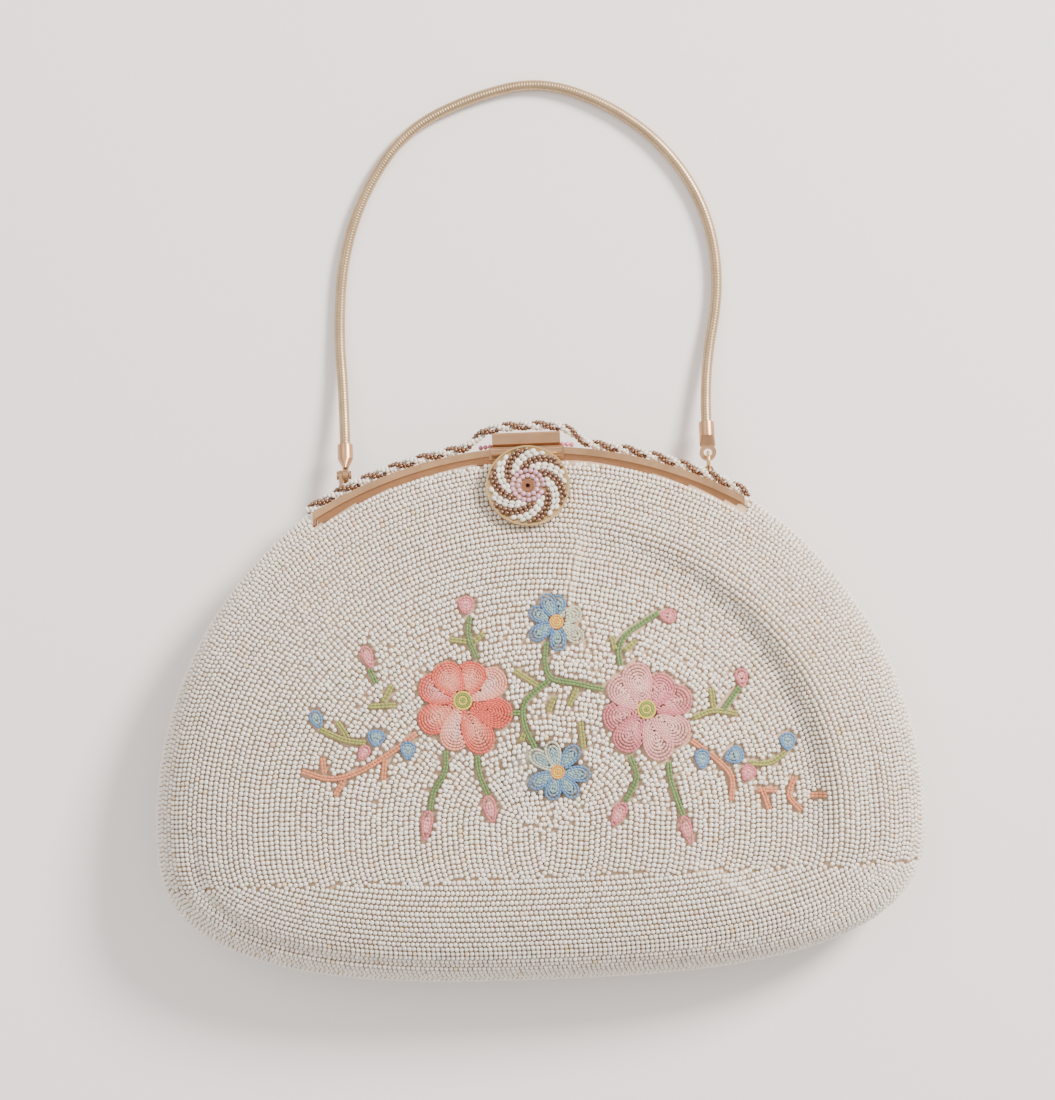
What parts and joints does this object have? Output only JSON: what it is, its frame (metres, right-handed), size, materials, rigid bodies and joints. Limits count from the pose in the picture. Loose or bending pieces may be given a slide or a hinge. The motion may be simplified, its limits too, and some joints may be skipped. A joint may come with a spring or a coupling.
{
  "type": "beaded handbag",
  "caption": "Beaded evening handbag lying on its back, with an arched hinged metal frame, a beaded medallion clasp, an embroidered flower spray and a snake chain handle.",
  "frame": {"origin": "centre of the footprint of the pouch, frame and rope, on the surface the bag lies on, with the chain handle left out", "axes": "+X across the bag, +Y from the pouch's bottom towards the handle, +Z out of the embroidered front"},
  "size_m": [0.2091, 0.2474, 0.0359],
  "materials": {
    "beaded_cloth": "closely sewn off-white glass beads on tan cloth",
    "lining_cloth": "plain woven lining, matte",
    "gilt_brass": "worn copper-tinted gilt",
    "chain_metal": "satin gilt, darkened in the joints",
    "copper": "worn copper",
    "white_beads": "opaque glass, glossy",
    "bronze_beads": "metallic brown glass, glossy",
    "pink_beads": "clear coloured glass, glossy",
    "yellow_thread": "chain-stitched silk",
    "coral_thread": "chain-stitched silk",
    "rose_thread": "chain-stitched silk",
    "blue_thread": "chain-stitched silk",
    "teal_thread": "chain-stitched silk",
    "green_thread": "chain-stitched silk",
    "olive_thread": "chain-stitched silk",
    "orange_thread": "chain-stitched silk"
  },
  "bodies": {
    "back_half": {"back_frame": "gilt_brass", "hinge_rivet_left": "gilt_brass", "hinge_rivet_right": "gilt_brass", "catch_bar": "gilt_brass", "rope_white_beads": "white_beads", "rope_bronze_beads": "bronze_beads", "rope_pink_beads": "pink_beads", "handle_ear_left": "gilt_brass", "handle_ear_right": "gilt_brass", "handle_rivet": "gilt_brass", "front_panel": "beaded_cloth", "back_panel": "beaded_cloth", "front_lining": "lining_cloth", "back_lining": "lining_cloth", "flower_middles": "yellow_thread", "coral_flower": "coral_thread", "pink_flower": "rose_thread", "blue_flowers": "blue_thread", "pink_buds": "rose_thread", "teal_buds": "teal_thread", "green_stems": "green_thread", "olive_leaves": "olive_thread", "coral_twigs": "orange_thread"},
    "front_half": {"front_frame": "gilt_brass", "clasp_hinge_plate": "gilt_brass", "clasp_pin": "gilt_brass"},
    "clasp": {"clasp_leaf": "gilt_brass", "medallion_disc": "gilt_brass", "medallion_eyelet": "copper", "medallion_white_beads": "white_beads", "medallion_bronze_beads": "bronze_beads", "medallion_pink_beads": "pink_beads"},
    "handle": {"handle_ring": "gilt_brass", "chain_cap_left": "gilt_brass", "chain_cap_right": "gilt_brass", "chain": "chain_metal"}
  },
  "joints": [
    {"name": "frame_open", "type": "hinge", "parent": "back_half", "child": "front_half", "pos_m": [0, 0.0468, 0.014], "axis": [1, 0, 0], "range_deg": [0, 50], "deforming": ["front_panel", "front_lining"]},
    {"name": "clasp_lift", "type": "hinge", "parent": "front_half", "child": "clasp", "pos_m": [0, 0.067, 0.0201], "axis": [-1, 0, 0], "range_deg": [0, 80]},
    {"name": "handle_swing", "type": "hinge", "parent": "back_half", "child": "handle", "pos_m": [0, 0.063, 0.0085], "axis": [1, 0, 0], "range_deg": [-85, 85]}
  ]
}
